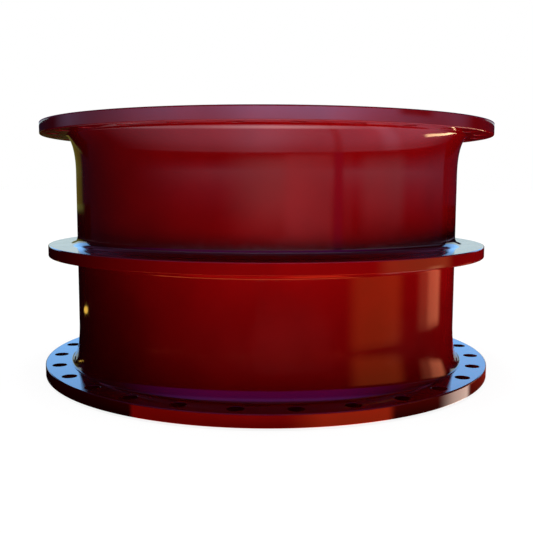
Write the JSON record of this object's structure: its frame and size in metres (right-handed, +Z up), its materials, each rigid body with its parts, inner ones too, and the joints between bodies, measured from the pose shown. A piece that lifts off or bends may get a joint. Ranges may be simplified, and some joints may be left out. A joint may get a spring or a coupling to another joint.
{
  "type": "puddle flange pipe",
  "caption": "Short wide wall pipe cast in one piece: straight barrel, bolted flange at each end and a plain collar round the middle.",
  "frame": {"origin": "centre of the lower joint face, on the pipe's axis", "axes": "+Z up along the pipe's axis; the two front bolt holes straddle -Y"},
  "size_m": [1.23, 1.23, 0.68],
  "materials": {
    "red_coating": "thick glossy deep red coating over cast iron, clean and unworn"
  },
  "bodies": {
    "root": {"pipe_casting": "red_coating"}
  },
  "joints": []
}
